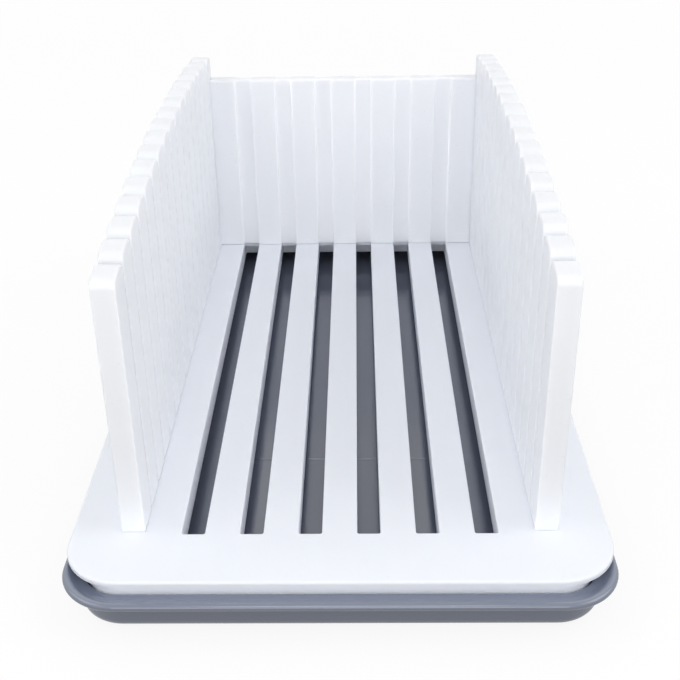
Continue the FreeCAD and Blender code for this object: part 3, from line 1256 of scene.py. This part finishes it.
@dataclass
class EndPanel:
    """Stop behind the loaf: a fluted plate on a row of tabs."""

    bed: Bed
    finish: bpy.types.Material
    wall_gap: float = 0.005
    reveal: float = 0.15
    top_round: float = 1.2
    foot_round: float = 0.15
    end_round: float = 0.05
    flute_round: float = 0.25
    tab_corner: float = 0.4
    tab_edge: float = 0.25
    flute_steps: int = 3
    foot_steps: int = 3
    end_steps: int = 4
    top_steps: int = 7

    def __post_init__(self) -> None:
        """Read the panel's box, and how far it reaches towards the walls."""
        self.box = NodeBox.of("back_panel")
        self.half_width = NodeBox.of("right_comb").low[0] - self.wall_gap

    def _face_curve(self) -> tuple[np.ndarray, np.ndarray, np.ndarray]:
        """Plan of the fluted face: a straight line that steps back at each flute.

        Each step is an S of two quarter circles with a short straight wall between them.

        Returns:
            X, the depth behind the face and the normal's angle away from it, from left to right.
        """
        turn = np.linspace(0.0, QUARTER, self.flute_steps + 1)
        radius, depth = self.flute_round, self.bed.flute_depth
        # one step back into a flute, going right: a convex arc, then a hollow arc
        step_x = np.concatenate([radius * (np.sin(turn) - 1), radius * (1 - np.cos(turn))])
        step_y = np.concatenate([radius * (1 - np.cos(turn)), depth - radius * (1 - np.sin(turn))])
        angle = np.concatenate([turn, QUARTER - turn])
        half = self.bed.slot_width / 2
        x, y, lean = [], [], []
        for middle in self.bed.slots:
            x += [middle - half + step_x, middle + half - step_x[::-1]]
            y += [step_y, step_y[::-1]]
            lean += [angle, -angle[::-1]]
        width, count = self.half_width, self.end_steps
        ends = rounded_span((-width, width), (self.end_round, self.end_round), (count, count))
        return tuple(
            np.concatenate([end[: count + 1], *flutes, end[count + 1 :]])
            for end, flutes in zip(ends, (x, y, lean))
        )

    def _add_face(self, skin: Skin, face_y: float, inward: float) -> np.ndarray:
        """One fluted face with its rounded top and foot.

        The plan is carried up the section. Each point lies as far behind the face as the plan
        and the section say together, and its normal is the plan's, tilted by the section's.

        Args:
            skin: Skin that it goes into.
            face_y: Y of the face's flats.
            inward: 1 where the panel lies towards +Y of the face, -1 where towards -Y.

        Returns:
            Its points, with the plan in rows and the section in columns.
        """
        x, depth, lean = (values[:, None] for values in self._face_curve())
        height, drawn_in, tilt = rounded_span(
            (self.bed.top + self.reveal, self.box.high[2]),
            (self.foot_round, self.top_round),
            (self.foot_steps, self.top_steps),
        )
        points = np.dstack(np.broadcast_arrays(x, face_y + inward * (depth + drawn_in), height))
        across, away = np.sin(lean) * np.cos(tilt), -inward * np.cos(lean) * np.cos(tilt)
        skin.grid(points, np.dstack(np.broadcast_arrays(across, away, np.sin(tilt))))
        return points

    def build(self) -> None:
        """Make and dress the end panel."""
        skin = Skin()
        front = self._add_face(skin, self.box.low[1], 1.0)
        rear = self._add_face(skin, self.box.high[1], -1.0)
        for end, direction in ((0, -1.0), (-1, 1.0)):
            skin.band(front[:, end], rear[:, end], (0.0, 0.0, direction))
            skin.band(front[end], rear[end], (direction, 0.0, 0.0))
        size = (self.bed.tab_width, self.bed.tab_thickness)
        low, high = self.box.low[2], self.bed.top + self.reveal + self.foot_round
        for x in self.bed.bars:
            middle = (float(x), self.box.middle(1))
            add_block(skin, size, middle, low, high, self.tab_corner, self.tab_edge)
        panel = skin.mesh("fluted_end_panel")
        finish_piece(panel, Body.END_STOP, Slot.WALL, self.finish, "back_panel")


# ---------------------------------------------------------------- crumb tray and feet


@dataclass
class CrumbTray:
    """Shallow tray with a dished flange, a raised lip and a soft-edged pad in its floor."""

    finish: bpy.types.Material
    wall: float = 1.6
    floor: float = 2.0
    corner: float = 15.8
    end_clearance: float = 0.4
    side_clearance: float = 1.9
    lip_corner: float = 20.0
    lip_land: float = 1.3
    lip_round: float = 1.28
    dish: float = 1.25
    dish_run: float = 4.4
    dish_share: float = 0.9
    flange: float = 1.35
    well_edge_round: float = 0.6
    bottom_round: float = 4.0
    well_round: float = 1.5
    hollow_round: float = 0.8
    pad_size: tuple[float, float] = (80.0, 119.0)
    pad_corner: float = 6.0
    pad_height: float = 0.5
    pad_slope: float = 0.5
    foot_diameter: float = 14.0
    foot_fit: float = 0.2
    foot_inset: float = 20.0
    socket_depth: float = 0.8
    corner_steps: int = 16
    bottom_steps: int = 10
    dish_steps: int = 8
    pad_steps: int = 8
    slope_steps: int = 5

    def __post_init__(self) -> None:
        """Work out the body that the board's skirt fits in."""
        self.box = NodeBox.of("crumb_tray")
        fitted = NodeBox.of("slotted_board")
        skirt_width = fitted.size(0) - 2 * SlottedBoard.skirt_inset
        self.body_width = skirt_width + 2 * (self.side_clearance + self.wall)
        self.body_length = fitted.size(1) + 2 * (self.end_clearance + self.wall)

    @property
    def floor_top(self) -> float:
        """Height of the tray's floor."""
        return self.box.low[2] + self.floor

    @property
    def foot_middles(self) -> list[tuple[float, float]]:
        """Middle of each foot: front left, front right, rear left, rear right."""
        x, y = self.body_width / 2 - self.foot_inset, self.body_length / 2 - self.foot_inset
        return [(-x, -y), (x, -y), (-x, y), (x, y)]

    def _outlines(self) -> tuple[Outline, ...]:
        """Outlines of the tray, all about the same middle.

        Returns:
            The outlines of the lip, of the body's wall and of the well.
        """
        width, length, wall = self.body_width, self.body_length, self.wall
        shapes = (
            ((self.box.size(0), self.box.size(1)), self.lip_corner),
            ((width, length), self.corner),
            ((width - 2 * wall, length - 2 * wall), self.corner - wall),
        )
        return tuple(Outline.rounded(*shape, steps=self.corner_steps) for shape in shapes)

    def _add_flange(self, skin: Skin, lip: Outline, well: Outline) -> None:
        """Top of the flange: the lip's land, a smooth fall from it, and a flat run to the well.

        The fall is a half wave of a cosine over the first part of the way, so that the lip
        stands as a soft bead. The fall takes the dish's run, but no more than the dish's share of
        the whole way where that is short.

        Args:
            skin: Skin that it goes into.
            lip: Outline of the lip.
            well: Outline of the well.
        """
        high = self.box.high[2]
        outer = lip.at(-self.lip_land, high)
        inner = well.at(self.well_edge_round, high)
        way = np.linalg.norm(inner - outer, axis=1)
        share = np.minimum(self.dish_run / np.maximum(way, self.dish_run), self.dish_share)[:, None]
        step = np.linspace(0.0, 1.0, self.dish_steps + 1)
        # the flat run has one ring halfway and one at the well
        part = np.concatenate([share * step, 1 - np.outer(1 - share, [0.5, 0.0])], axis=1)
        fall = self.dish * np.concatenate([half_wave(step), [1.0, 1.0]])
        rings = [
            outer + (inner - outer) * along[:, None] - np.array([0.0, 0.0, drop])
            for along, drop in zip(part.T, fall)
        ]
        skin.loft([lip.at(-self.lip_round, high), outer], (0, 0, 1))
        skin.loft(rings, (0, 0, 1))

    def _add_walls(self, skin: Skin) -> tuple[np.ndarray, np.ndarray]:
        """Lip, flange, body wall and well.

        Args:
            skin: Skin that they go into.

        Returns:
            Loops where the tray's bottom and the well's floor start.
        """
        lip, body, well = self._outlines()
        high = self.box.high[2]
        under = high - self.dish - self.flange
        skin.sweep(lip, rim_runs(under, high, self.lip_round, self.lip_round))
        self._add_flange(skin, lip, well)
        hollow, curve = self.hollow_round, self.bottom_round
        skin.loft([lip.at(-self.lip_round, under), body.at(hollow, under)], (0, 0, -1))
        foot, shoulder = self.box.low[2] + curve, under - hollow
        skin.sweep(body, [
            Run.arc((hollow, shoulder), hollow, 90, 180, side=-1),
            Run.line((0.0, foot), (0.0, shoulder)),
            Run.arc((-curve, foot), curve, -90, 0, steps=self.bottom_steps),
        ])
        edge, inner_curve = self.well_edge_round, self.well_round
        foot, shoulder = self.floor_top + inner_curve, high - self.dish - edge
        skin.sweep(well, [
            Run.arc((edge, shoulder), edge, 180, 90),
            Run.line((0.0, foot), (0.0, shoulder), side=-1),
            Run.arc((-inner_curve, foot), inner_curve, 0, -90, side=-1),
        ])
        return body.moved(-curve), well.moved(-inner_curve)

    def _add_pad(self, skin: Skin, base: float, up: int) -> np.ndarray:
        """Raised pad in the floor, or its hollow under the tray: a half wave up to a flat.

        Args:
            skin: Skin that it goes into.
            base: Height of the surface round it.
            up: 1 for the floor's upper face, -1 for the lower one.

        Returns:
            The loop where it meets the surface round it.
        """
        pad = Outline.rounded(self.pad_size, self.pad_corner, steps=self.pad_steps)
        rings = [
            pad.at(self.pad_slope * (1 - share), base + self.pad_height * half_wave(share))
            for share in np.linspace(0.0, 1.0, self.slope_steps + 1)
        ]
        skin.loft(rings, (0, 0, up))
        skin.fill([pad.points], base + self.pad_height, up)
        return pad.moved(self.pad_slope)

    def _add_sockets(self, skin: Skin) -> list[np.ndarray]:
        """Round sockets for the feet.

        Args:
            skin: Skin that they go into.

        Returns:
            The loops where they open.
        """
        radius = self.foot_diameter / 2 + self.foot_fit
        low = self.box.low[2]
        roof = low + self.socket_depth
        holes = [Outline.circle(radius, middle) for middle in self.foot_middles]
        for hole in holes:
            skin.sweep(hole, [Run.line((0.0, low), (0.0, roof), side=-1)])
            skin.fill([hole.points], roof, -1)
        return [hole.points for hole in holes]

    def build(self) -> None:
        """Make and dress the tray."""
        skin = Skin()
        bottom, floor = self._add_walls(skin)
        skin.fill([floor, self._add_pad(skin, self.floor_top, 1)], self.floor_top, 1)
        below = [bottom, self._add_pad(skin, self.box.low[2], -1)]
        skin.fill(below + self._add_sockets(skin), self.box.low[2], -1)
        tray = skin.mesh("crumb_tray_shell")
        finish_piece(tray, Body.TRAY, Slot.TRAY, self.finish, "crumb_tray")


@dataclass
class FootPad:
    """Round rubber pad with a soft edge, a shallow dish below and a ring round the dish."""

    node: str
    finish: bpy.types.Material
    edge: float = 0.35
    ring_width: float = 1.6
    ring_fall: float = 0.6
    dish: float = 0.25
    dish_steps: int = 5

    def build(self) -> None:
        """Make and dress the foot."""
        box = NodeBox.of(self.node)
        rim = Outline.circle(box.size(0) / 2, (box.middle(0), box.middle(1)))
        low, high = box.low[2], box.high[2]
        ring_out = self.edge + self.ring_width
        rings = [
            rim.at(-ring_out - self.ring_fall * share, low + self.dish * half_wave(share))
            for share in np.linspace(0.0, 1.0, self.dish_steps + 1)
        ]
        skin = Skin()
        skin.sweep(rim, rim_runs(low, high, self.edge, self.edge))
        skin.fill([rim.moved(-self.edge)], high, 1)
        skin.loft([rim.at(-self.edge, low), rings[0]], (0, 0, -1))
        skin.loft(rings, (0, 0, -1))
        skin.fill([rim.moved(-ring_out - self.ring_fall)], low + self.dish, -1)
        foot = skin.mesh(f"{self.node}_pad")
        finish_piece(foot, Body.TRAY, Slot.FOOT, self.finish, self.node)


# ---------------------------------------------------------------- camera, light and floor


@dataclass(frozen=True)
class StudioCamera:
    """Camera in front of the guide and above it, looking down on the bed.

    Its place, lens, sensor and nearest distance are in millimetres, its turns in degrees.
    """

    place: tuple[float, float, float] = (6.663, -419.222, 254.81)
    yaw: float = -1.075
    pitch: float = 28.75
    roll: float = 0.9
    lens: float = 57.67
    sensor: float = 36.0
    nearest: float = 10.0

    def build(self) -> None:
        """Make the camera: turned by yaw about Z, tilted down by pitch, rolled about its axis."""
        data = bpy.data.cameras.new("studio_camera")
        data.lens = self.lens
        data.sensor_width = self.sensor
        data.clip_start = self.nearest * MM
        camera = add_object("studio_camera", data)
        turn = Matrix.Rotation(math.radians(-self.yaw), 4, "Z")
        tilt = Matrix.Rotation(math.radians(90.0 - self.pitch), 4, "X")
        roll = Matrix.Rotation(math.radians(-self.roll), 4, "Z")
        place = Matrix.Translation([value * MM for value in self.place])
        camera.matrix_world = place @ turn @ tilt @ roll
        bpy.context.scene.camera = camera


@dataclass(frozen=True)
class SoftBox:
    """A square area lamp that looks at the guide from far outside it, with sizes in metres."""

    name: str
    azimuth: float
    elevation: float
    power: float
    width: float = 1.1
    distance: float = 1.6

    def build(self) -> None:
        """Make the lamp: azimuth 0 is in front and 90 to the right, in degrees."""
        data = bpy.data.lights.new(self.name, "AREA")
        data.shape = "SQUARE"
        data.size = self.width
        data.energy = self.power
        lamp = add_object(self.name, data)
        turn = Matrix.Rotation(math.radians(self.azimuth), 4, "Z")
        tilt = Matrix.Rotation(math.radians(90.0 - self.elevation), 4, "X")
        lamp.matrix_world = turn @ tilt @ Matrix.Translation((0.0, 0.0, self.distance))


@dataclass(frozen=True)
class Studio:
    """White surroundings, soft lamps and a pale floor, with a dark mat under the guide.

    The floor's brightness for bounced light rises smoothly from the mat to the far floor, which
    turns plain white further out, so that its edge doesn't show. The mat shows in bounced light
    only. Reaches are distances from the guide's middle, in metres.
    """

    ambient: float = 0.54
    floor_shade: float = 0.97
    floor_glow: float = 0.88
    mat_shade: float = 0.06
    mat_reach: float = 0.19
    far_reach: float = 0.45
    white_reach: float = 1.5
    floor_half: float = 3.0
    lamps: tuple[SoftBox, ...] = (
        SoftBox("low_front_softbox", 0.0, 16.0, 4.3, width=0.9),
        SoftBox("high_front_softbox", 0.0, 55.0, 2.3, width=0.5),
        SoftBox("front_left_softbox", -45.0, 30.0, 1.9),
        SoftBox("front_right_softbox", 45.0, 30.0, 0.8),
        SoftBox("left_softbox", -80.0, 42.0, 4.8),
        SoftBox("right_softbox", 80.0, 42.0, 6.7),
        SoftBox("rear_left_softbox", -150.0, 30.0, 1.4),
        SoftBox("rear_right_softbox", 150.0, 30.0, 1.8),
    )

    @staticmethod
    def _seen(graph: Graph) -> Signal:
        """Mask of the rays that show the surroundings.

        Args:
            graph: Graph that the nodes go into.

        Returns:
            1 for rays from the camera, in gloss or through glass, and 0 for others.
        """
        path = graph.node("ShaderNodeLightPath")
        shown = path.signal("Is Camera Ray").maximum(path.signal("Is Glossy Ray"))
        return shown.maximum(path.signal("Is Transmission Ray"))

    def _build_world(self) -> None:
        """White to the eye and in reflections, and the ambient level as light."""
        world = bpy.data.worlds.new("white_surroundings")
        world.use_nodes = True
        graph = Graph(world.node_tree)
        strength = self.ambient + self._seen(graph) * (1.0 - self.ambient)
        sockets = {"Color": PLAIN_WHITE, "Strength": strength}
        background = graph.node("ShaderNodeBackground", None, sockets)
        graph.node("ShaderNodeOutputWorld", None, {"Surface": background.signal("Background")})
        bpy.context.scene.world = world

    def _build_floor(self) -> None:
        """Pale floor: part of it is lit, so that it keeps the shadow, and part is white."""
        half = self.floor_half
        corners = [(-half, -half, 0.0), (half, -half, 0.0), (half, half, 0.0), (-half, half, 0.0)]
        mesh = bpy.data.meshes.new("studio_floor")
        mesh.from_pydata(corners, [], [(0, 1, 2, 3)])
        floor = add_object("studio_floor", mesh)
        material = bpy.data.materials.new("pale_floor")
        material.use_nodes = True
        graph = Graph(material.node_tree)
        seen = self._seen(graph)
        away = graph.node("ShaderNodeVectorMath", {"operation": "LENGTH"}, {0: graph.place()})
        distance = away.signal("Value")
        far = distance.between(self.mat_reach, self.far_reach)
        bounce = self.mat_shade + far * (self.floor_shade - self.mat_shade)
        shade = bounce + seen * (self.floor_shade - bounce)
        lit = graph.node("ShaderNodeBsdfDiffuse", None, {"Color": graph.tint(PLAIN_WHITE[:3], shade)})
        white = graph.node("ShaderNodeEmission", None, {"Color": PLAIN_WHITE, "Strength": 1.0})
        beyond = distance.between(self.far_reach, self.white_reach)
        sockets = {
            0: seen * (self.floor_glow + beyond * (1.0 - self.floor_glow)),
            1: lit.signal("BSDF"),
            2: white.signal("Emission"),
        }
        mixed = graph.node("ShaderNodeMixShader", None, sockets)
        graph.node("ShaderNodeOutputMaterial", None, {"Surface": mixed.signal("Shader")})
        mesh.materials.append(material)

    def build(self) -> None:
        """Make the surroundings, the floor, the lamps and the camera."""
        self._build_world()
        self._build_floor()
        for lamp in self.lamps:
            lamp.build()
        StudioCamera().build()
        bpy.context.scene.view_settings.view_transform = "Standard"


def main() -> None:
    """Build the guide, dress it and light it."""
    logging.basicConfig(level=logging.INFO, format="%(name)s: %(message)s")
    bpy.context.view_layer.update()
    bed = Bed()
    board_plastic = BOARD_FINISH.material()
    wall_plastic = WALL_FINISH.material()
    tray_plastic = TRAY_FINISH.material()
    rubber = FOOT_FINISH.material()
    SlottedBoard(bed, board_plastic).build()
    for side in Side:
        CombWall(bed, side, wall_plastic).build()
    EndPanel(bed, wall_plastic).build()
    CrumbTray(tray_plastic).build()
    for node in ("front_left_foot", "front_right_foot", "rear_left_foot", "rear_right_foot"):
        FootPad(node, rubber).build()
    Studio().build()


if __name__ == "__main__":
    main()
